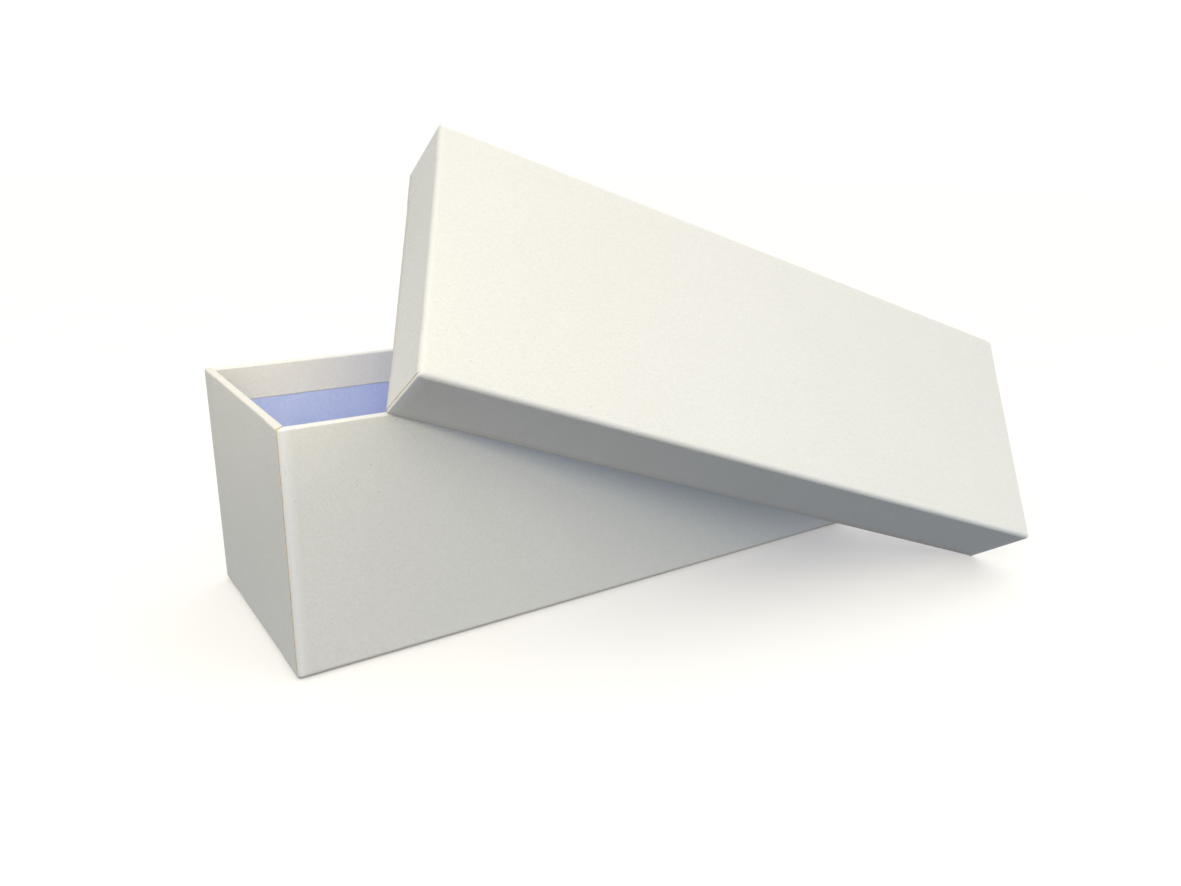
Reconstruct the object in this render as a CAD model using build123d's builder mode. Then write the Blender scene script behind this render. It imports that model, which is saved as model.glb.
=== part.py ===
from build123d import *
import math
import os

# A rigid two-piece gift box for jewelry: an open base, and a lift-off lid that leans across it.
# Each half is a set-up tray. Scores divide a lined board blank into a floor and four walls, which
# are folded up, held at the four upright corners by paper stays, and covered by one cross-shaped
# wrapping sheet. Its flaps are tucked round the corners under the end panels, and its edges are
# turned in over the rim.
# Millimetres. The origin is the centre of the base's underside, +X runs along the base,
# +Y points to its back and +Z is up.

# Driving dimensions
base_length = 216.6  # outside sizes of the wrapped base
base_width = 72.6
base_height = 71.0
lid_depth = 23.8  # outside depth of the wrapped lid
lid_clearance = 0.5  # gap on each side between the base and the lid when the box is closed

board_thickness = 2.0
paper_thickness = 0.16  # the wrapping sheet
liner_thickness = 0.12  # the lining laminated to the board
stay_thickness = 0.1

fold_radius = 1.6  # outside edges where the board is folded along its scores
corner_radius = 0.9  # outside edges at the upright corners
rim_radius = 0.6  # both edges of the rim
turn_in_depth = 10.8  # how far the wrapping sheet reaches down inside
flap_reach = 11.0  # a flap tucked round a corner, under the end panel
end_panel_setback = 0.7  # an end panel's cut edge stops this far short of the corner
corner_slit = 0.2  # the gap where two wall panels meet at an upright corner
stay_leg = 14.0  # how far a corner stay reaches along each wall
stay_end_gap = 1.2  # a stay stops this far short of the fold and of the rim

# How the lid leans: one corner on the front rim, one on the ground, its back edge on the right rim
upper_corner_from_left_end = 28.2
upper_corner_in_front_of_base = 0.15
lower_corner_in_front_of_base = 44.4
rest_gap = 0.2  # from the rim to the sharp outline of the lid's upper corner
edge_rounding_depth = 0.4  # two crossing rims stand this far back from their sharp outlines
corner_rounding_depth = 0.5  # the lower corner stands this far back from its sharp outline

# Sizes that follow
wall_thickness = paper_thickness + board_thickness + liner_thickness + paper_thickness
lid_length = base_length + 2 * (lid_clearance + wall_thickness)
lid_width = base_width + 2 * (lid_clearance + wall_thickness)
board_corner_radius = corner_radius - paper_thickness
board_floor = paper_thickness + board_thickness  # height of the board's upper side
lining_floor = board_floor + liner_thickness
end_layers = 2 * paper_thickness  # an end wall carries a tucked flap under its end panel
side_layers = paper_thickness


def leaning_lid_plane():
    """The plane of the lid's upper face, facing down into the lid, where the lid leans on the base."""
    on_rim = Vector(
        upper_corner_from_left_end - base_length / 2,
        -base_width / 2 - upper_corner_in_front_of_base,
        base_height + rest_gap,
    )
    across = upper_corner_in_front_of_base - lower_corner_in_front_of_base
    drop = -corner_rounding_depth - on_rim.Z
    run = math.sqrt(lid_length**2 - across**2 - drop**2)
    along = Vector(run, across, drop).normalized()

    # The lid turns about its front edge until the inner edge of its back wall meets the right rim.
    level = Vector(0, 0, 1).cross(along).normalized()
    steep = along.cross(level)
    slope = along.Z / along.X
    right_rim = base_length / 2 - on_rim.X
    level_share = -slope * level.X
    steep_share = steep.Z - slope * steep.X
    back_edge = lid_width - wall_thickness
    rise = (-edge_rounding_depth - slope * right_rim) / back_edge
    reach = math.hypot(level_share, steep_share)
    roll = math.atan2(steep_share, level_share) - math.acos(rise / reach)
    backward = level * math.cos(roll) + steep * math.sin(roll)

    upward = along.cross(backward)
    centre = on_rim + along * (lid_length / 2) + backward * (lid_width / 2) + upward * lid_depth
    return Plane(origin=centre, x_dir=along, z_dir=-upward)


def axis_of(plane):
    """The axis from a tray's outer face to its open side."""
    return Axis(plane.origin, plane.z_dir)


def solid_block(plane, length, width, height, upright_radius, bottom_radius, top_radius):
    """A block with rounded upright corners, rounded folds along its bottom and a rounded top."""
    end_section = Plane(origin=plane.origin, x_dir=plane.y_dir, z_dir=plane.x_dir)
    long_section = Plane(origin=plane.origin, x_dir=-plane.x_dir, z_dir=plane.y_dir)
    with BuildPart() as block:
        with BuildSketch(plane):
            RectangleRounded(length, width, upright_radius)
        extrude(amount=height)
        for section, across, along in ((end_section, width, length), (long_section, length, width)):
            with BuildSketch(section) as outline:
                Rectangle(across, height, align=(Align.CENTER, Align.MIN))
                fillet(outline.vertices().group_by(Axis.Y)[0], bottom_radius)
            extrude(amount=along, both=True, mode=Mode.INTERSECT)
        fillet(block.faces().sort_by(axis_of(plane))[-1].edges(), top_radius)
    return block.part


def folded_board(plane, length, width, height):
    """The folded board as one tray, before the scores and slits divide it into panels."""
    board_length = length - 2 * end_layers
    board_width = width - 2 * side_layers
    board_rim_radius = rim_radius - paper_thickness
    with BuildPart() as tray:
        add(
            solid_block(
                plane.offset(paper_thickness),
                board_length,
                board_width,
                height - 2 * paper_thickness,
                board_corner_radius,
                fold_radius - paper_thickness,
                board_rim_radius,
            )
        )
        with BuildSketch(plane.offset(board_floor)):
            Rectangle(board_length - 2 * board_thickness, board_width - 2 * board_thickness)
        extrude(amount=height, mode=Mode.SUBTRACT)
        rim = tray.faces().sort_by(axis_of(plane))[-1]
        fillet(rim.inner_wires().edges(), board_rim_radius)
    return tray.part


def scored_floor(plane, length, width):
    """The room of the floor panel, whose four sides slope at 45 degrees along the scores."""
    with BuildPart() as floor:
        with BuildSketch(plane.offset(paper_thickness)):
            Rectangle(length - 2 * end_layers, width - 2 * side_layers)
        extrude(amount=board_thickness, taper=45)
    return floor.part


def make_stay(plane, length, width, height, end_side, long_side):
    """A gummed paper stay, folded round one upright corner and pressed flush into the board."""
    board_length = length - 2 * end_layers
    board_width = width - 2 * side_layers
    with BuildPart() as stay:
        with BuildSketch(plane.offset(fold_radius + stay_end_gap)):
            RectangleRounded(board_length, board_width, board_corner_radius)
            RectangleRounded(
                board_length - 2 * stay_thickness,
                board_width - 2 * stay_thickness,
                board_corner_radius - stay_thickness,
                mode=Mode.SUBTRACT,
            )
            with Locations((end_side * board_length / 2, long_side * board_width / 2)):
                Rectangle(2 * stay_leg, 2 * stay_leg, mode=Mode.INTERSECT)
        extrude(amount=height - fold_radius - rim_radius - 2 * stay_end_gap)
    return stay


def make_floor_board(plane, length, width, height):
    """The floor panel of a tray, or the top panel of the lid."""
    with BuildPart() as floor:
        add(folded_board(plane, length, width, height))
        add(scored_floor(plane, length, width), mode=Mode.INTERSECT)
    return floor


def make_wall_boards(plane, length, width, height, stays):
    """The four wall panels: two long ones, and between them two end ones, in order along the plane."""
    board_length = length - 2 * end_layers
    board_width = width - 2 * side_layers
    with BuildPart() as walls:
        add(folded_board(plane, length, width, height))
        add(scored_floor(plane, length, width), mode=Mode.SUBTRACT)
        with BuildSketch(plane.offset(paper_thickness)):
            with GridLocations(
                board_length - board_thickness,
                board_width - 2 * board_thickness - corner_slit,
                2,
                2,
            ):
                Rectangle(board_thickness, corner_slit)
        extrude(amount=height, mode=Mode.SUBTRACT)
        for stay in stays:
            add(stay.part, mode=Mode.SUBTRACT)
    left, *_, right = walls.solids().sort_by(Axis(plane.origin, plane.x_dir))
    low_side, *_, high_side = walls.solids().sort_by(Axis(plane.origin, plane.y_dir))
    panels = []
    for solid in (left, right, low_side, high_side):
        with BuildPart() as panel:
            add(solid)
        panels.append(panel)
    return panels


def make_liner(plane, length, width, height):
    """The lining on the board's inner side, which ends below the rounded rim."""
    lined_length = length - 2 * (end_layers + board_thickness)
    lined_width = width - 2 * (side_layers + board_thickness)
    with BuildPart() as liner:
        with BuildSketch(plane.offset(board_floor)):
            Rectangle(lined_length, lined_width)
        extrude(amount=height - board_floor - rim_radius)
        with BuildSketch(plane.offset(lining_floor)):
            Rectangle(lined_length - 2 * liner_thickness, lined_width - 2 * liner_thickness)
        extrude(amount=height, mode=Mode.SUBTRACT)
    return liner


def make_wrap(plane, length, width, height, liner):
    """The wrapping sheet: outside panels, the rim, and the turned-in band over the lining."""
    lined_length = length - 2 * (end_layers + board_thickness + liner_thickness)
    lined_width = width - 2 * (side_layers + board_thickness + liner_thickness)
    mouth_length = lined_length - 2 * paper_thickness
    mouth_width = lined_width - 2 * paper_thickness
    with BuildPart() as wrap:
        sheet_length = length - 2 * paper_thickness
        add(solid_block(plane, sheet_length, width, height, corner_radius, fold_radius, rim_radius))
        add(folded_board(plane, length, width, height), mode=Mode.SUBTRACT)
        add(liner.part, mode=Mode.SUBTRACT)
        with BuildSketch(plane.offset(lining_floor)):
            Rectangle(lined_length, lined_width)
        extrude(amount=height - lining_floor - turn_in_depth, mode=Mode.SUBTRACT)
        with BuildSketch(plane.offset(height - turn_in_depth)):
            Rectangle(mouth_length, mouth_width)
        extrude(amount=turn_in_depth, mode=Mode.SUBTRACT)
        rim = wrap.faces().sort_by(axis_of(plane))[-1]
        fillet(rim.inner_wires().edges(), rim_radius)

        # The end panels stand proud where they cover the tucked flaps.
        flap_cover = flap_reach - end_panel_setback
        for end_side in (-1, 1):
            face_x = end_side * (length / 2 - paper_thickness)
            end_plane = Plane(
                origin=plane.from_local_coords((face_x, 0, height / 2)),
                x_dir=plane.y_dir,
                z_dir=plane.x_dir * end_side,
            )
            with BuildSketch(end_plane):
                with GridLocations(width - 2 * end_panel_setback - flap_cover, 0, 2, 1):
                    Rectangle(flap_cover, height - 2 * fold_radius)
            extrude(amount=paper_thickness)

        # The sheet is divided along its folds, into its floor, four walls and four corners.
        for side in (-1, 1):
            across = plane.from_local_coords((side * mouth_length / 2, 0, 0))
            split(bisect_by=Plane(across, z_dir=plane.x_dir), keep=Keep.BOTH)
            along = plane.from_local_coords((0, side * mouth_width / 2, 0))
            split(bisect_by=Plane(along, z_dir=plane.y_dir), keep=Keep.BOTH)
    return wrap


def make_tray(prefix, floor_name, plane, length, width, height, front_side):
    """All the pieces of one half, by name. front_side is the plane's own side of the front wall."""
    corners = {
        "front_left": (-1, front_side),
        "front_right": (1, front_side),
        "back_left": (-1, -front_side),
        "back_right": (1, -front_side),
    }
    stays = {
        f"{prefix}_corner_stay_{corner}": make_stay(plane, length, width, height, *sides)
        for corner, sides in corners.items()
    }
    left, right, low_side, high_side = make_wall_boards(plane, length, width, height, stays.values())
    front, back = (low_side, high_side) if front_side < 0 else (high_side, low_side)
    liner = make_liner(plane, length, width, height)
    return {
        f"{prefix}_{floor_name}_board": make_floor_board(plane, length, width, height),
        f"{prefix}_front_board": front,
        f"{prefix}_back_board": back,
        f"{prefix}_left_board": left,
        f"{prefix}_right_board": right,
        f"{prefix}_liner": liner,
        f"{prefix}_wrap": make_wrap(plane, length, width, height, liner),
        **stays,
    }


pieces = {
    **make_tray("base", "floor", Plane.XY, base_length, base_width, base_height, front_side=-1),
    **make_tray("lid", "top", leaning_lid_plane(), lid_length, lid_width, lid_depth, front_side=1),
}

os.makedirs("parts", exist_ok=True)
for name, piece in pieces.items():
    piece.part.label = name
    export_step(piece.part, f"parts/{name}.step")
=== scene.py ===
import math
from dataclasses import dataclass

import bmesh
import bpy
from mathutils import Matrix, Vector, noise


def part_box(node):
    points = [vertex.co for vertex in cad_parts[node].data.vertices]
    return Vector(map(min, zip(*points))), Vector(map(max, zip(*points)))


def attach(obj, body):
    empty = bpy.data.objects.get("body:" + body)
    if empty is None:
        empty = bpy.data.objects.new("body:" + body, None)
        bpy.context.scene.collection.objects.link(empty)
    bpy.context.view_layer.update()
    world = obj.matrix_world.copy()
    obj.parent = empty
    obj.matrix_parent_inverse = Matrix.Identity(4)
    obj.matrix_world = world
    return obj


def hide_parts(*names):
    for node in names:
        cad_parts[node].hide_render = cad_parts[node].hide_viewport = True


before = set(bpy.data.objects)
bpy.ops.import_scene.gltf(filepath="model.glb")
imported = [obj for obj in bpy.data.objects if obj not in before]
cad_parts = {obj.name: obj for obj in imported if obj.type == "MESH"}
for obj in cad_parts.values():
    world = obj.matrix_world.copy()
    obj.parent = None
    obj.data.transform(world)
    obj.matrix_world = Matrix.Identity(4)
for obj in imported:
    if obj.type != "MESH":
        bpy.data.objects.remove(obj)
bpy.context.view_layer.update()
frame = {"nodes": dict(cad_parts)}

# The looks of a rigid gift box, its lid leaning across its base. Lengths are millimetres, and
# are turned into metres where a point is made. Each tray has a frame of its own: x from its left
# end to its right one, y across it, and z from its closed face to its open side.
MM = 0.001

# Layers and radii, as in the CAD model
PAPER = 0.16
BOARD = 2.0
LINING = 0.12
FOLD_RADIUS = 1.6
CORNER_RADIUS = 0.9
RIM_RADIUS = 0.6
TURN_IN = 10.8
LINING_FLOOR = PAPER + BOARD + LINING
LONG_INSET = PAPER + BOARD + LINING + PAPER  # from a long wall's outside to its inside
END_INSET = LONG_INSET + PAPER  # an end wall has a tucked flap as well

# Cut edges and small gaps
MITRE_GAP = 0.25  # between the end panel's cut edge and the long wall's paper, on the rim
BAND_GAP = 0.03  # and between their turned-in bands
STAINED_EDGE = 0.16  # how far paste and the knife colour the paper beside a cut edge
LINING_FOLD = 0.4
LINING_SLIT = 0.1
SHARPEST_CORNER = 0.04  # radius of the inside upright corners

# How far paper goes on over a fold, as a share of its inset from the wall
FLAP_OVER_FOLD = 0.3
CORNER_OVER_FOLD = 0.85  # the first column of a flap
STAIN_OVER_FOLD = 0.35  # the tan of an end panel's cut edge

# Unevenness of paper pasted by hand: a height and a wavelength
BROAD_WAVE = (0.022, 34.0)
SMALL_WAVE = (0.010, 11.0)
SAG_WAVE = (0.3, 16.0)  # its height is a share of the sag
BROAD_RAG = (0.09, 9.0)  # along an end panel's cut edge
SMALL_RAG = (0.05, 2.4)
FLAP_RAG = (0.35, 12.0)  # along a tucked flap's cut edge

# How far the paper lies from a sharp outline, and where
MEAN_DROP = 0.03  # what the waves are added to
CALM_FOLD = 6.0  # the waves fade out this close to a fold
CALM_CORNER = 8.0  # and this close to an upright corner
SAG_WIDTH = 4.5  # how far a fold's softness reaches into the closed face
SAG_RISE = (1.0, 9.0)  # it grows between these distances from a corner
FLAP_STEP = (0.3, 1.3)  # the end panel steps down off a flap, from before its edge to beyond it
BAND_LIFT = 0.07  # the turned-in band's cut edge stands this far off the lining
BAND_LIFT_REACH = 2.2
RAISED_RIM = 0.07
RAISED_RIM_STEP = 0.8
WRINKLE_HEIGHT = 0.08
WRINKLE_WIDTH = 0.55
NICK_DEPTH = 0.30
NICK_WIDTH = 0.7

# Where the paper gets a painted highlight, painted shade or a tan tint, as shares
RIM_HIGHLIGHT = 0.55
FOLD_HIGHLIGHT = 0.35
CORNER_HIGHLIGHT = (0.2, 2.6)  # the painted highlight fades out between these distances from an upright corner
# A tan tint over the turned-in band, and painted shade in its corners
BAND_TINT = 0.10
CORNER_SHADE = 0.30
CORNER_SHADE_REACH = 16.0

# Mesh spacing
ARC_STEPS = 8
CORNER_STEPS = 6
SUPPORT = 0.3  # first row or column beyond a bend
EDGE_SUPPORTS = (STAINED_EDGE, 0.45)  # the same beside a cut edge
BAND_SUPPORTS = (0.10, 0.45)  # and beside the turned-in band's edge
PITCH = 2.5
FINE_PITCH = 1.0
FLAP_COLUMNS = (0.3, 1.5, 3.0, 5.0, 7.0, 9.0)  # a tucked flap's columns, by distance from its corner
WELD = 0.002  # points closer than this become one
SLIVER = 0.001  # and edges shorter than this go
CREASE_ANGLE = 40  # degrees, from which an edge is shaded as sharp


def smooth_step(low, high, value):
    """0 below low, 1 above high, and a smooth rise between them."""
    share = min(1.0, max(0.0, (value - low) / (high - low)))
    return share * share * (3 - 2 * share)


def ridge(value, centre, half_width):
    """A smooth bump of height 1."""
    return math.exp(-(((value - centre) / half_width) ** 2))


def ripple(waves, x, y, z, seed):
    """Smooth noise of a given height and wavelength, positive and negative."""
    height, wavelength = waves
    shift = Vector((seed, 2.7 * seed, -1.3 * seed))
    return height * noise.noise(Vector((x, y, z)) / wavelength + shift)


def spread(low, high, pitch, supports=(SUPPORT,)):
    """Values from low to high, about one pitch apart, with support values beside both ends."""
    inner_low, inner_high = low + supports[-1], high - supports[-1]
    count = max(1, round((inner_high - inner_low) / pitch))
    inner = [inner_low + (inner_high - inner_low) * i / count for i in range(count + 1)]
    before = [low + support for support in supports[:-1]]
    after = [high - support for support in reversed(supports[:-1])]
    return [low, *before, *inner, *after, high]


# A wrapping sheet's material slots
PAPER_FACE, STAINED, PASTED = range(3)

# Its vertex attributes: how far a painted highlight lightens it, and how far painted shade darkens
# it
HIGHLIGHT = "highlight"
PAINTED_SHADE = "painted_shade"


class Tray:
    """One half of the box: its frame and its outside size."""

    def __init__(self, name, closed_board):
        self.name = name
        nodes = frame["nodes"]
        wrap, floor, end = (nodes[f"{name}_{n}"] for n in ("wrap", closed_board, "left_board"))
        centre, floor_centre, end_centre = (self.middle(node) for node in (wrap, floor, end))
        self.z = self.facing(floor, centre - floor_centre)
        self.x = self.facing(end, centre - end_centre)
        self.y = self.z.cross(self.x)
        points = [vertex.co for vertex in wrap.data.vertices]
        reach = [[point.dot(axis) for point in points] for axis in (self.x, self.y, self.z)]
        low, high = [min(r) for r in reach], [max(r) for r in reach]
        self.length, self.width, self.depth = ((h - l) / MM for l, h in zip(low, high))
        middle_x, middle_y = (low[0] + high[0]) / 2, (low[1] + high[1]) / 2
        self.origin = self.x * middle_x + self.y * middle_y + self.z * low[2]

    @staticmethod
    def middle(node):
        """The centre of a node's box."""
        low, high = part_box(node.name)
        return (low + high) / 2

    @staticmethod
    def facing(node, towards):
        """The normal of a panel's largest face, turned to point the given way."""
        largest = max(node.data.polygons, key=lambda polygon: polygon.area)
        normal = largest.normal.copy()
        return normal if normal.dot(towards) > 0 else -normal

    def at(self, x, y, z):
        """A point of the tray's own frame, in the shared frame and in metres."""
        return self.origin + (self.x * x + self.y * y + self.z * z) * MM


@dataclass
class Row:
    """One line of a wall's profile: its inset and height, and which way it faces there."""

    part: str  # fold, wall, rim or band
    inset: float
    height: float
    out: float  # 1 faces away from the tray, -1 faces its inside
    up: float  # 1 faces the open side


def wall_profile(depth, thickness):
    """The rows of a wall: round the fold, up the wall, over the rim and down the turned-in band."""
    rows = []
    for i in range(ARC_STEPS + 1):
        turn = math.pi / 2 * i / ARC_STEPS
        out, up = math.sin(turn), -math.cos(turn)
        rows.append(Row("fold", FOLD_RADIUS * (1 - out), FOLD_RADIUS * (1 + up), out, up))
    shoulder = depth - RIM_RADIUS
    for height in spread(FOLD_RADIUS, shoulder, PITCH)[1:]:
        rows.append(Row("wall", 0.0, height, 1.0, 0.0))
    for i in range(1, CORNER_STEPS + 1):
        turn = math.pi / 2 * i / CORNER_STEPS
        out, up = math.cos(turn), math.sin(turn)
        rows.append(Row("rim", RIM_RADIUS * (1 - out), shoulder + RIM_RADIUS * up, out, up))
    rows.append(Row("rim", thickness / 2, depth, 0.0, 1.0))
    for i in range(CORNER_STEPS + 1):
        turn = math.pi / 2 * i / CORNER_STEPS
        out, up = -math.sin(turn), math.cos(turn)
        inset = thickness - RIM_RADIUS * (1 + out)
        rows.append(Row("rim", inset, shoulder + RIM_RADIUS * up, out, up))
    for height in reversed(spread(depth - TURN_IN, shoulder, PITCH, BAND_SUPPORTS)[:-1]):
        rows.append(Row("band", thickness, height, -1.0, 0.0))
    return rows


def add_grid(bm, points, keep=None, flip=False, slot=None, painted_light=None):
    """Faces between the rows of a grid of points, where keep(row, column) allows them."""
    vertices = [[bm.verts.new(point) for point in line] for line in points]
    # The last callback gives each vertex its painted highlight and painted shade
    if painted_light:
        layers = [bm.verts.layers.float[name] for name in (HIGHLIGHT, PAINTED_SHADE)]
        for i, line in enumerate(vertices):
            for j, vertex in enumerate(line):
                for layer, value in zip(layers, painted_light(i, j)):
                    vertex[layer] = value
    for i in range(len(points) - 1):
        for j in range(len(points[0]) - 1):
            if keep and not keep(i, j):
                continue
            corners = [
                vertices[i][j],
                vertices[i][j + 1],
                vertices[i + 1][j + 1],
                vertices[i + 1][j],
            ]
            face = bm.faces.new(reversed(corners) if flip else corners)
            face.material_index = slot(i, j) if slot else 0


def finish_sheet(name, bm, thickness, materials):
    """A sheet of paper from its outer surface: welded, thickened inwards, with crisp cut edges."""
    bmesh.ops.remove_doubles(bm, verts=bm.verts, dist=WELD * MM)
    bmesh.ops.dissolve_degenerate(bm, edges=bm.edges, dist=SLIVER * MM)
    loose = [vertex for vertex in bm.verts if not vertex.link_faces]
    bmesh.ops.delete(bm, geom=loose, context="VERTS")
    mesh = bpy.data.meshes.new(name)
    bm.to_mesh(mesh)
    bm.free()
    for material in materials:
        mesh.materials.append(material)
    sheet = bpy.data.objects.new(name, mesh)
    bpy.context.scene.collection.objects.link(sheet)
    solidify = sheet.modifiers.new("thickness", "SOLIDIFY")
    solidify.thickness = thickness * MM
    solidify.offset = -1
    solidify.use_rim = True
    bpy.context.view_layer.update()
    depsgraph = bpy.context.evaluated_depsgraph_get()
    sheet.data = bpy.data.meshes.new_from_object(sheet.evaluated_get(depsgraph))
    sheet.modifiers.clear()
    sheet.data.name = name
    sheet.data.shade_smooth()
    sheet.data.set_sharp_from_angle(angle=math.radians(CREASE_ANGLE))
    return sheet


@dataclass
class Handwork:
    """How the paper of one tray differs from a perfect sheet.

    An end is -1 at the left and 1 at the right. A side is -1 or 1, for low or high y.
    """

    seed: float
    setback: float  # from an upright corner to the end panel's cut edge
    soft_fold: float  # how far the paper sags at the folds round the closed face
    flap_reach: dict  # (end, side): (reach at the closed face, reach at the rim)
    shaded_fold: float = 0.0  # how much painted shade darkens the folds round the closed face
    shaded_rim: float = 0.0  # and the outer edge of the rim
    pasted_mitres: tuple = ()  # (end, side) of each mitre that shows golden paste
    sharp_corner: tuple = None  # (end, side, radius)
    nick: tuple = None  # (end, side, height)
    raised_rim: tuple = None  # (end, side, distance from that side's corner)
    wrinkle: tuple = None  # (end, side, distance from that side's corner)

    def corner_radius(self, end, side):
        """The outside radius of an upright corner."""
        if self.sharp_corner and self.sharp_corner[:2] == (end, side):
            return self.sharp_corner[2]
        return CORNER_RADIUS


def wave(work, x, y, z):
    """How far the paper lies below its sharp outline: slow waves from the board and the paste."""
    broad = ripple(BROAD_WAVE, x, y, z, work.seed)
    small = ripple(SMALL_WAVE, x, y, z, work.seed + 5)
    return MEAN_DROP + broad + small


def fold_sink(work, x, y, half_x, half_y):
    """How far the paper sags where the closed face meets a fold. It varies along the fold."""
    along_x = math.copysign(half_x, x), y
    along_y = x, math.copysign(half_y, y)
    sink = 0.0
    for (edge_x, edge_y), beyond, corner_distance in (
        (along_x, half_x - abs(x), half_y - abs(y)),
        (along_y, half_y - abs(y), half_x - abs(x)),
    ):
        sag = 1 + ripple(SAG_WAVE, edge_x, edge_y, 0.0, work.seed + 31)
        sag *= work.soft_fold * smooth_step(*SAG_RISE, corner_distance)
        sink = max(sink, sag * (1 - smooth_step(0, SAG_WIDTH, beyond)))
    return sink


def closed_face(tray, work, bm, xs, ys):
    """The flat outer face, in the plane that the folds start from."""
    half_x, half_y = xs[-1], ys[-1]
    lines = []
    for x in xs:
        line = []
        for y in ys:
            fold_distance = min(half_x - abs(x), half_y - abs(y))
            sink = wave(work, x, y, 0.0) * smooth_step(0, CALM_FOLD, fold_distance)
            sink = max(sink, fold_sink(work, x, y, half_x, half_y))
            line.append(tray.at(x, y, sink))
        lines.append(line)
    add_grid(bm, lines)


def row_painted_light(work, row, depth, rim_highlight):
    """How much painted highlight and how much painted shade a row of a wall gets."""
    # Painted highlight on the rim
    highlight = rim_highlight if row.part == "rim" else 0.0
    painted_shade = 0.0
    if row.part == "fold":
        # A painted highlight along the fold, and painted shade along its lower part
        highlight = FOLD_HIGHLIGHT * (1 - work.shaded_fold) * ridge(row.out, 0.5, 0.35)
        painted_shade = work.shaded_fold * ridge(row.height, 0.5 * FOLD_RADIUS, 0.4 * FOLD_RADIUS)
    # Painted shade along the rim's outer edge
    if row.part in ("wall", "rim") and row.out > 0.3:
        painted_shade = work.shaded_rim * ridge(row.height, depth - 0.7 * RIM_RADIUS, 0.5)
        highlight *= 1 - painted_shade
    return highlight, painted_shade


def long_columns(shares):
    """A long panel's columns from left to right: the kind, the end and the place of each."""
    corner = [("corner", i / CORNER_STEPS) for i in range(1, CORNER_STEPS + 1)]
    beyond = corner + [("flap", distance) for distance in FLAP_COLUMNS]
    left = [(kind, -1, place) for kind, place in reversed(beyond)]
    straight = [("straight", 0, share) for share in shares]
    return left + straight + [(kind, 1, place) for kind, place in beyond]


def long_side(tray, work, bm, side, shares):
    """A long wall's panel, with the flaps that go round its corners and under the end panels."""
    half_length, half_width = tray.length / 2, tray.width / 2
    face_x, face_y = half_length - FOLD_RADIUS, half_width - FOLD_RADIUS
    rows = wall_profile(tray.depth, LONG_INSET)
    columns = long_columns(shares)

    lines = []
    for row in rows:
        start = row.inset / FOLD_RADIUS if row.part == "fold" else 0.0
        end_x = half_length - row.inset - PAPER * (1 - start)
        line = []
        for kind, end, place in columns:
            radius = work.corner_radius(end or (1 if place > 0 else -1), side)
            if row.part in ("fold", "wall"):
                radius *= 1 - start
            else:
                radius = max(radius - row.inset, SHARPEST_CORNER)
            centre_x, centre_y = end_x - radius, half_width - row.inset - radius
            height = row.height
            if kind == "straight":
                x, y = place * centre_x, half_width - row.inset
                sink = wave(work, x, side * y, height)
                sink *= smooth_step(0, CALM_CORNER, centre_x - abs(x))
                sink *= smooth_step(0, CALM_FOLD, height)
                y -= sink * row.out
                height -= sink * max(row.up, 0.0)
                if row.part == "fold":
                    sag = fold_sink(work, place * face_x, side * face_y, face_x, face_y)
                    height += sag * (1 - row.out)
                if row.part == "band":
                    y -= band_lift(tray, row)
            elif kind == "corner":
                turn = math.pi / 2 * place
                x = end * (centre_x + radius * math.sin(turn))
                y = centre_y + radius * math.cos(turn)
                under_panel = smooth_step(0.5, 1.0, place)
                height -= PAPER * max(row.up, 0.0) * under_panel
            else:
                x, y = end * end_x, centre_y - place
                height -= PAPER * max(row.up, 0.0)
            line.append(tray.at(x, side * y, height))
        lines.append(line)

    def beside_corner(j):
        """The first column of a flap."""
        return "corner" in (columns[j][0], columns[j + 1][0])

    def keep(i, j):
        """A flap is as high as the wall. Beside the corner it goes on over the fold and the rim."""
        if "flap" not in (columns[j][0], columns[j + 1][0]):
            return True
        if rows[i].part == "fold":
            top = CORNER_OVER_FOLD if beside_corner(j) else FLAP_OVER_FOLD
            return rows[i].inset < top * FOLD_RADIUS
        if rows[i].part == "rim":
            return rows[i].inset < LONG_INSET - RIM_RADIUS and beside_corner(j)
        return rows[i].part == "wall"

    def slot(i, j):
        return STAINED if i == len(rows) - 2 else PAPER_FACE

    def painted_light(i, j):
        highlight, painted_shade = row_painted_light(work, rows[i], tray.depth, RIM_HIGHLIGHT)
        kind, _, place = columns[j]
        from_corner = tray.length / 2 * (1 - abs(place)) if kind == "straight" else 0.0
        # The turned-in band: a tan tint, with painted shade near the corners
        if rows[i].part == "band":
            painted_shade = band_tint_and_shade(from_corner)
        elif kind != "flap":
            # Painted highlight on the rounded upright corner, fading out beside it
            highlight = max(highlight, 1 - smooth_step(*CORNER_HIGHLIGHT, from_corner))
        return highlight, painted_shade

    add_grid(bm, lines, keep, flip=side > 0, slot=slot, painted_light=painted_light)


def band_tint_and_shade(from_corner):
    """The turned-in band is tinted tan all over, with painted shade darkening it towards the
    corners.
    """
    return BAND_TINT + CORNER_SHADE * (1 - smooth_step(0, CORNER_SHADE_REACH, from_corner))


def band_lift(tray, row):
    """The turned-in band's cut edge stands a little off the lining."""
    above_edge = row.height - (tray.depth - TURN_IN)
    return BAND_LIFT * (1 - smooth_step(0, BAND_LIFT_REACH, above_edge))


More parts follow.
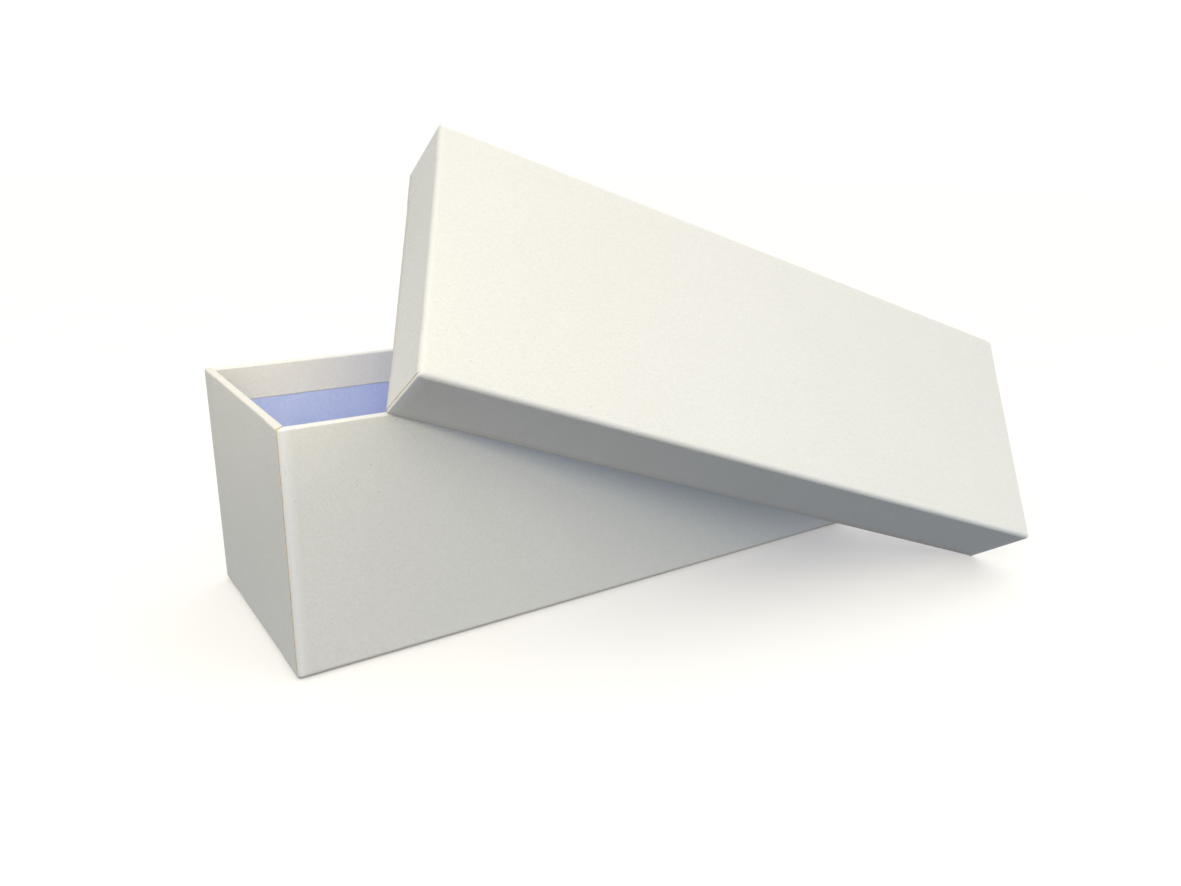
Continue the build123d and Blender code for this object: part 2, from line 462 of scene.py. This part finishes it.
def end_panel(tray, work, bm, end, shares):
    """An end wall's panel: over the flaps, cut just short of the corners, and mitred on the rim."""
    half_length, half_width = tray.length / 2, tray.width / 2
    face_x, face_y = half_length - FOLD_RADIUS, half_width - FOLD_RADIUS
    rows = wall_profile(tray.depth, END_INSET)

    def half_span(row, side):
        """From the panel's middle to its cut edge."""
        ragged = ripple(BROAD_RAG, end * 40.0, side * 70.0, row.height, work.seed + 11)
        ragged += ripple(SMALL_RAG, end * 40.0, side * 70.0, row.height, work.seed + 12)
        edge = work.setback + ragged
        if work.nick and work.nick[:2] == (end, side):
            edge += NICK_DEPTH * ridge(row.height, work.nick[2], NICK_WIDTH)
        if row.part == "fold":
            start = row.inset / FOLD_RADIUS
            return half_width - edge * (1 - start) - FOLD_RADIUS * start
        if row.part == "band":
            return half_width - LONG_INSET - BAND_GAP
        return half_width - max(edge, row.inset - PAPER + MITRE_GAP)

    lines = []
    for row in rows:
        line = []
        for share in shares:
            side = 1 if share > 0 else -1
            y = share * half_span(row, side)
            from_corner = half_width - abs(y)
            at_fold, at_rim = work.flap_reach[(end, side)]
            up_wall = row.height / tray.depth
            reach = at_fold + (at_rim - at_fold) * up_wall
            reach += ripple(FLAP_RAG, 0.0, side * 30.0, row.height, work.seed + 21)
            past_flap = smooth_step(reach - FLAP_STEP[0], reach + FLAP_STEP[1], from_corner)
            sink = PAPER * past_flap * max(row.out, 0.0)
            middle = smooth_step(0, CALM_CORNER, from_corner)
            sink += 0.5 * wave(work, end * half_length, y, row.height) * middle * max(row.out, 0.0)
            rise = 0.0
            if row.part == "rim":
                rise = rim_handwork(tray, work, end, y) * max(row.up, 0.0)
            elif row.part == "fold":
                sag = fold_sink(work, end * face_x, share * face_y, face_x, face_y)
                rise = sag * (1 - row.out)
            inset = row.inset + sink
            if row.part == "band":
                inset += band_lift(tray, row)
            line.append(tray.at(end * (half_length - inset), y, row.height + rise))
        lines.append(line)

    def slot(i, j):
        side = -1 if j < len(shares) / 2 else 1
        beside_mitre = min(j, len(shares) - 2 - j) < 2
        if rows[i].part == "rim" and beside_mitre and (end, side) in work.pasted_mitres:
            return PASTED
        over_fold = rows[i].part == "fold" and rows[i].inset > STAIN_OVER_FOLD * FOLD_RADIUS
        if j in (0, len(shares) - 2) and not over_fold:
            return STAINED
        return STAINED if i == len(rows) - 2 else PAPER_FACE

    def painted_light(i, j):
        highlight, painted_shade = row_painted_light(work, rows[i], tray.depth, rim_highlight=0.0)
        # The turned-in band: a tan tint, with painted shade near the corners
        if rows[i].part == "band":
            painted_shade = band_tint_and_shade(tray.width / 2 * (1 - abs(shares[j])))
        return highlight, painted_shade

    add_grid(bm, lines, flip=end < 0, slot=slot, painted_light=painted_light)


def rim_handwork(tray, work, end, y):
    """The rise of the end rim where layers overlap, and a small wrinkle across it."""
    rise = 0.0
    if work.raised_rim and work.raised_rim[0] == end:
        _, side, distance = work.raised_rim
        from_corner = tray.width / 2 - side * y
        beyond = smooth_step(distance - RAISED_RIM_STEP, distance + RAISED_RIM_STEP, from_corner)
        rise += RAISED_RIM * (1 - beyond)
    if work.wrinkle and work.wrinkle[0] == end:
        _, side, distance = work.wrinkle
        rise += WRINKLE_HEIGHT * ridge(tray.width / 2 - side * y, distance, WRINKLE_WIDTH)
    return rise


def wrap_sheet(tray, work, materials):
    """The wrapping sheet of one tray: one cross-shaped piece of paper."""
    half_x = tray.length / 2 - FOLD_RADIUS
    half_y = tray.width / 2 - FOLD_RADIUS
    xs = spread(-half_x, half_x, PITCH)
    ys = spread(-half_y, half_y, FINE_PITCH, EDGE_SUPPORTS)
    bm = bmesh.new()
    for name in (HIGHLIGHT, PAINTED_SHADE):
        bm.verts.layers.float.new(name)
    closed_face(tray, work, bm, xs, ys)
    for side in (-1, 1):
        long_side(tray, work, bm, side, [x / half_x for x in xs])
    for end in (-1, 1):
        end_panel(tray, work, bm, end, [y / half_y for y in ys])
    return finish_sheet(f"{tray.name}_wrapping_sheet", bm, PAPER, materials)


def lining_sheet(tray, materials):
    """The blue lining: a floor and four walls, slit where the walls meet."""
    half_x = tray.length / 2 - END_INSET + PAPER
    half_y = tray.width / 2 - LONG_INSET + PAPER
    xs = spread(-half_x + LINING_FOLD, half_x - LINING_FOLD, PITCH)
    ys = spread(-half_y + LINING_FOLD, half_y - LINING_FOLD, PITCH)
    top = tray.depth - RIM_RADIUS

    profile = []
    for i in range(ARC_STEPS // 2 + 1):
        turn = math.pi / 2 * i / (ARC_STEPS // 2)
        inward = LINING_FOLD * (1 - math.sin(turn))
        profile.append((inward, LINING_FLOOR + LINING_FOLD * (1 - math.cos(turn))))
    for height in spread(LINING_FLOOR + LINING_FOLD, top, PITCH)[1:]:
        profile.append((0.0, height))

    bm = bmesh.new()
    add_grid(bm, [[tray.at(x, y, LINING_FLOOR) for y in ys] for x in xs], flip=True)
    for side in (-1, 1):
        lines = []
        for inward, height in profile:
            gap = LINING_SLIT * (1 - inward / LINING_FOLD) + inward
            stretch = (half_x - gap) / (half_x - LINING_FOLD)
            y = side * (half_y - inward)
            lines.append([tray.at(x * stretch, y, height) for x in xs])
        add_grid(bm, lines, flip=side < 0)
    for end in (-1, 1):
        lines = []
        for inward, height in profile:
            gap = LINING_SLIT * (1 - inward / LINING_FOLD) + inward
            stretch = (half_y - gap) / (half_y - LINING_FOLD)
            x = end * (half_x - inward)
            lines.append([tray.at(x, y * stretch, height) for y in ys])
        add_grid(bm, lines, flip=end > 0)
    return finish_sheet(f"{tray.name}_lining_sheet", bm, LINING, materials)


# Colours of the materials. A pair makes a mottle.
IVORY_PAIR = ((0.838, 0.827, 0.767), (0.896, 0.885, 0.831))
# The colours of the painted highlight and of the painted shade
HIGHLIGHT_IVORY = (0.95, 0.945, 0.915)
SHADE_IVORY = (0.52, 0.43, 0.30)
FIBRE = (0.60, 0.55, 0.46)
CUT_PAIR = ((0.80, 0.68, 0.49), (0.66, 0.53, 0.33))
PASTED_PAIR = ((0.72, 0.52, 0.24), (0.55, 0.36, 0.12))
BLUE_PAIR = ((0.54, 0.62, 0.94), (0.61, 0.69, 0.97))
GREYBOARD_PAIR = ((0.33, 0.31, 0.28), (0.50, 0.48, 0.44))
KRAFT_PAIR = ((0.42, 0.29, 0.16), (0.55, 0.40, 0.24))
FLOOR_PAIR = ((0.86, 0.86, 0.86), (0.88, 0.88, 0.88))
FLOOR_GLOW = ((1.0, 0.95, 0.85), 0.25)  # colour and strength


class Nodes:
    """A material's node tree, with short calls for the nodes that are used here."""

    def __init__(self, name):
        self.material = bpy.data.materials.new(name)
        self.material.use_nodes = True
        self.tree = self.material.node_tree
        self.shader = self.tree.nodes["Principled BSDF"]
        self.place = self.tree.nodes.new("ShaderNodeTexCoord").outputs["Object"]

    def add(self, kind, links=None, **settings):
        """A node, with a link or a plain value for each socket that links names."""
        node = self.tree.nodes.new(kind)
        for key, value in settings.items():
            setattr(node, key, value)
        for socket, value in (links or {}).items():
            if isinstance(value, bpy.types.NodeSocket):
                self.tree.links.new(value, node.inputs[socket])
            else:
                node.inputs[socket].default_value = value
        return node

    def speckle(self, size, detail=2.0, rough=0.5):
        """Noise with features of about the given size in millimetres."""
        scale = 1 / (size * MM)
        links = {"Vector": self.place, "Scale": scale, "Detail": detail, "Roughness": rough}
        return self.add("ShaderNodeTexNoise", links).outputs["Fac"]

    def blend(self, factor, low, high, pair):
        """A colour that goes through a pair of colours as the factor goes from low to high."""
        ramp = self.add("ShaderNodeValToRGB", {"Fac": factor})
        for element, position, color in zip(ramp.color_ramp.elements, (low, high), pair):
            element.position = position
            element.color = (*color, 1)
        return ramp.outputs["Color"]

    def cover(self, factor, under, color):
        """A colour laid over what is under it, as far as the factor says."""
        links = {0: factor, 6: under, 7: (*color, 1)}
        return self.add("ShaderNodeMix", links, data_type="RGBA").outputs[2]

    def between(self, value, low, high):
        """Noise from 0 to 1 as a value from low to high."""
        links = {"Value": value, "To Min": low, "To Max": high}
        return self.add("ShaderNodeMapRange", links).outputs[0]

    def attribute(self, name):
        """A value that the mesh code gave to each vertex."""
        return self.add("ShaderNodeAttribute", attribute_name=name).outputs["Fac"]

    def scaled(self, value, share):
        """value times share."""
        return self.add("ShaderNodeMath", {0: value, 1: share}, operation="MULTIPLY").outputs[0]

    def total(self, first, second, share):
        """first plus second times share."""
        links = {0: second, 1: share, 2: first}
        return self.add("ShaderNodeMath", links, operation="MULTIPLY_ADD").outputs[0]

    def bump(self, height, distance):
        """A normal that follows a height from 0 to 1, with 1 standing the given distance proud."""
        links = {"Height": height, "Distance": distance * MM, "Strength": 1.0}
        return self.add("ShaderNodeBump", links).outputs["Normal"]

    def finish(self, color, roughness, normal, specular=0.3):
        """The material, with its shader's sockets filled."""
        for socket, value in (("Base Color", color), ("Roughness", roughness), ("Normal", normal)):
            self.tree.links.new(value, self.shader.inputs[socket])
        self.shader.inputs["Specular IOR Level"].default_value = specular
        return self.material


def wrapping_paper():
    """Matte ivory paper with an eggshell grain, faint clouds and a few dark fibres, and a painted
    highlight and painted shade where the mesh asks for them.
    """
    nodes = Nodes("ivory_wrapping_paper")
    clouds = nodes.speckle(22, detail=3.0)
    grain = nodes.speckle(0.9)
    tooth = nodes.speckle(0.4, detail=1.0)
    shade = nodes.scaled(nodes.total(nodes.total(grain, tooth, 0.9), clouds, 0.35), 0.44)
    color = nodes.blend(shade, 0.36, 0.64, IVORY_PAIR)
    # A painted highlight, then painted shade, laid over the paper from the mesh's values
    color = nodes.cover(nodes.attribute(HIGHLIGHT), color, HIGHLIGHT_IVORY)
    color = nodes.cover(nodes.scaled(nodes.attribute(PAINTED_SHADE), 0.6), color, SHADE_IVORY)
    fibres = nodes.blend(nodes.speckle(0.9, detail=1.0), 0.76, 0.80, ((0, 0, 0), (0.6, 0.6, 0.6)))
    color = nodes.cover(fibres, color, FIBRE)
    height = nodes.total(grain, tooth, 0.45)
    roughness = nodes.between(grain, 0.58, 0.74)
    return nodes.finish(color, roughness, nodes.bump(height, 0.11))


def cut_paper(name, pair):
    """The cut edge of the wrapping paper, tan where the knife leaves the paste and the core."""
    nodes = Nodes(name)
    stain = nodes.speckle(3.0, detail=3.0)
    color = nodes.blend(stain, 0.35, 0.65, pair)
    fuzz = nodes.speckle(0.2)
    return nodes.finish(color, nodes.between(fuzz, 0.75, 0.95), nodes.bump(fuzz, 0.02), specular=0.2)


def lining_paper():
    """Smooth blue lining paper with a faint mottle."""
    nodes = Nodes("blue_lining_paper")
    clouds = nodes.speckle(9, detail=3.0)
    grain = nodes.speckle(1.1)
    shade = nodes.total(clouds, grain, 0.8)
    color = nodes.blend(shade, 0.65, 1.0, BLUE_PAIR)
    return nodes.finish(color, nodes.between(clouds, 0.50, 0.62), nodes.bump(grain, 0.05))


def greyboard():
    """Grey pulp board with pale and dark fibres."""
    nodes = Nodes("greyboard")
    pulp = nodes.speckle(1.6, detail=6.0, rough=0.7)
    color = nodes.blend(pulp, 0.35, 0.65, GREYBOARD_PAIR)
    return nodes.finish(color, nodes.between(pulp, 0.8, 0.95), nodes.bump(pulp, 0.06), specular=0.15)


def kraft():
    """Brown gummed paper with long fibres."""
    nodes = Nodes("gummed_kraft_paper")
    pulp = nodes.speckle(2.4, detail=5.0, rough=0.65)
    color = nodes.blend(pulp, 0.35, 0.65, KRAFT_PAIR)
    return nodes.finish(color, nodes.between(pulp, 0.55, 0.75), nodes.bump(pulp, 0.02), specular=0.3)


IVORY = wrapping_paper()
CUT_EDGE = cut_paper("cut_paper_edge", CUT_PAIR)
PASTED_EDGE = cut_paper("pasted_paper_edge", PASTED_PAIR)
BLUE = lining_paper()
GREY = greyboard()
KRAFT = kraft()

# The pieces
BASE = Tray("base", "floor_board")
LID = Tray("lid", "top_board")
BASE_WORK = Handwork(
    seed=3.0,
    setback=0.7,
    soft_fold=0.05,
    flap_reach={
        (-1, -1): (12.5, 10.0),
        (-1, 1): (8.5, 10.8),
        (1, -1): (11.5, 10.5),
        (1, 1): (10.0, 11.5),
    },
    # painted shade along the bottom fold
    shaded_fold=0.7,
    pasted_mitres=((-1, -1), (1, 1)),
    nick=(-1, -1, 19.0),
    raised_rim=(-1, 1, 15.0),
    wrinkle=(-1, -1, 28.0),
)
LID_WORK = Handwork(
    seed=8.0,
    setback=0.9,
    soft_fold=0.09,
    flap_reach={
        (-1, -1): (10.5, 11.0),
        (-1, 1): (11.5, 10.5),
        (1, -1): (11.0, 10.0),
        (1, 1): (10.0, 11.0),
    },
    # painted shade along the outer edge of the rim
    shaded_rim=1.0,
    pasted_mitres=((-1, 1), (1, -1)),
    sharp_corner=(-1, 1, 0.45),
)

for tray, work in ((BASE, BASE_WORK), (LID, LID_WORK)):
    wrapping = wrap_sheet(tray, work, [IVORY, CUT_EDGE, PASTED_EDGE])
    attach(wrapping, tray.name)
    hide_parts(f"{tray.name}_wrap")
    lining = lining_sheet(tray, [BLUE])
    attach(lining, tray.name)
    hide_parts(f"{tray.name}_liner")

for name, node in frame["nodes"].items():
    finish = KRAFT if "_stay_" in name else GREY
    node.data.materials.clear()
    node.data.materials.append(finish)

# Floor, light and camera
FLOOR_SIZE = 6000.0
FLOOR_GAP = 0.1  # the floor lies just under the box


def make_floor():
    """A white table, lit a little from within. It shows soft shadows and lights nothing else."""
    bm = bmesh.new()
    half = FLOOR_SIZE / 2
    corners = [(-half, -half), (half, -half), (half, half), (-half, half)]
    bm.faces.new([bm.verts.new((x * MM, y * MM, -FLOOR_GAP * MM)) for x, y in corners])
    mesh = bpy.data.meshes.new("floor")
    bm.to_mesh(mesh)
    bm.free()
    floor = bpy.data.objects.new("floor", mesh)
    bpy.context.scene.collection.objects.link(floor)
    nodes = Nodes("pale_floor")
    dust = nodes.speckle(60.0)
    color = nodes.blend(dust, 0.3, 0.7, FLOOR_PAIR)
    glow, strength = FLOOR_GLOW
    nodes.shader.inputs["Emission Color"].default_value = (*glow, 1)
    nodes.shader.inputs["Emission Strength"].default_value = strength
    roughness = nodes.between(dust, 0.85, 0.95)
    mesh.materials.append(nodes.finish(color, roughness, nodes.bump(dust, 0.01), specular=0.0))
    floor.visible_diffuse = False
    floor.visible_glossy = False
    floor.visible_shadow = False


# The light of each half of the studio: an even part, and parts that grow towards a side. The
# ground is dark in front of the box and behind it.
SKY = (
    (0.54, 0.535, 0.52),
    {"-Y": (0.213, 0.199, 0.187), "-X": (0.47, 0.50, 0.52), "+X": (1.04, 1.03, 1.03)},
)
GROUND = ((0.02, 0.02, 0.03), {"-X": (0.16, 0.17, 0.20), "+X": (0.45, 0.45, 0.46)})
HORIZON_BLUR = 0.08


def make_world():
    """A studio of soft light whose brightness depends only on its direction."""
    world = bpy.data.worlds.new("studio")
    world.use_nodes = True
    tree = world.node_tree
    background = tree.nodes["Background"]
    direction = tree.nodes.new("ShaderNodeTexCoord").outputs["Generated"]
    parts = tree.nodes.new("ShaderNodeSeparateXYZ")
    tree.links.new(direction, parts.inputs[0])

    def towards(side):
        """How far a direction points to a side, from 0 to 1."""
        node = tree.nodes.new("ShaderNodeMapRange")
        tree.links.new(parts.outputs[side[1]], node.inputs["Value"])
        node.inputs["From Max"].default_value = -1.0 if side[0] == "-" else 1.0
        return node.outputs[0]

    def half(even, growing):
        """The colour of one half of the studio."""
        color = tree.nodes.new("ShaderNodeRGB").outputs[0]
        color.default_value = (*even, 1)
        for side, extra in growing.items():
            add = tree.nodes.new("ShaderNodeVectorMath")
            add.operation = "MULTIPLY_ADD"
            add.inputs[0].default_value = extra
            tree.links.new(towards(side), add.inputs[1])
            tree.links.new(color, add.inputs[2])
            color = add.outputs[0]
        return color

    above = tree.nodes.new("ShaderNodeMapRange")
    above.interpolation_type = "SMOOTHSTEP"
    above.inputs["From Min"].default_value = -HORIZON_BLUR
    above.inputs["From Max"].default_value = HORIZON_BLUR
    tree.links.new(parts.outputs["Z"], above.inputs["Value"])
    mix = tree.nodes.new("ShaderNodeMix")
    mix.data_type = "VECTOR"
    tree.links.new(above.outputs[0], mix.inputs["Factor"])
    tree.links.new(half(*GROUND), mix.inputs[4])
    tree.links.new(half(*SKY), mix.inputs[5])
    tree.links.new(mix.outputs[1], background.inputs["Color"])

    # The camera sees plain white behind the floor.
    white = tree.nodes.new("ShaderNodeBackground")
    white.inputs["Color"].default_value = (1, 1, 1, 1)
    seen = tree.nodes.new("ShaderNodeLightPath").outputs["Is Camera Ray"]
    choice = tree.nodes.new("ShaderNodeMixShader")
    tree.links.new(seen, choice.inputs[0])
    tree.links.new(background.outputs[0], choice.inputs[1])
    tree.links.new(white.outputs[0], choice.inputs[2])
    tree.links.new(choice.outputs[0], tree.nodes["World Output"].inputs["Surface"])
    bpy.context.scene.world = world


def add_light(name, data, place, target, power, color):
    """Put a light in its place, turned to its target."""
    data.energy = power
    data.color = color
    light = bpy.data.objects.new(name, data)
    bpy.context.scene.collection.objects.link(light)
    place, target = Vector(place) * MM, Vector(target) * MM
    turn = (target - place).to_track_quat("-Z", "Y").to_matrix().to_4x4()
    light.matrix_world = Matrix.Translation(place) @ turn
    light.visible_camera = False


def make_lamp(name, place, target, size, power, color):
    """A round soft lamp."""
    data = bpy.data.lights.new(name, "AREA")
    data.shape = "DISK"
    data.size = size * MM
    add_light(name, data, place, target, power, color)


def make_spot(name, place, target, size, angle, power, color):
    """A lamp with a soft narrow beam."""
    data = bpy.data.lights.new(name, "SPOT")
    data.shadow_soft_size = size * MM
    data.spot_size = math.radians(angle)
    data.spot_blend = 1.0
    add_light(name, data, place, target, power, color)


CAMERA_PLACE = (-168.6, -249.6, 138.5)
CAMERA_HEADING = 33.05  # degrees to the right of +Y
CAMERA_PITCH = -20.11
CAMERA_ROLL = 1.18
CAMERA_LENS = 27.865
CAMERA_SHIFT = (0.0370, 0.0266)


def make_camera():
    """The camera stands where the photograph was taken from."""
    data = bpy.data.cameras.new("camera")
    data.lens = CAMERA_LENS
    data.sensor_width = 36.0
    data.shift_x, data.shift_y = CAMERA_SHIFT
    data.clip_start, data.clip_end = 0.01, 50.0
    camera = bpy.data.objects.new("camera", data)
    bpy.context.scene.collection.objects.link(camera)
    heading = Matrix.Rotation(math.radians(-CAMERA_HEADING), 4, "Z")
    pitch = Matrix.Rotation(math.radians(90 + CAMERA_PITCH), 4, "X")
    roll = Matrix.Rotation(math.radians(CAMERA_ROLL), 4, "Z")
    place = Matrix.Translation(Vector(CAMERA_PLACE) * MM)
    camera.matrix_world = place @ heading @ pitch @ roll
    bpy.context.scene.camera = camera


make_floor()
make_world()
make_lamp(
    "key",
    place=(-200, -260, 320),
    target=(0, -30, 70),
    size=300,
    power=0.43,
    color=(1.0, 0.93, 0.79),
)
make_lamp(
    "fill",
    place=(60, -320, 20),
    target=(20, -36, 30),
    size=200,
    power=0.042,
    color=(0.05, 0.53, 1.0),
)
make_spot(
    "opening",
    place=(-230, -330, 300),
    target=(-85, 36, 62),
    size=30,
    angle=9,
    power=3.6,
    color=(1.0, 0.88, 0.52),
)
make_camera()
bpy.context.scene.view_settings.view_transform = "Standard"
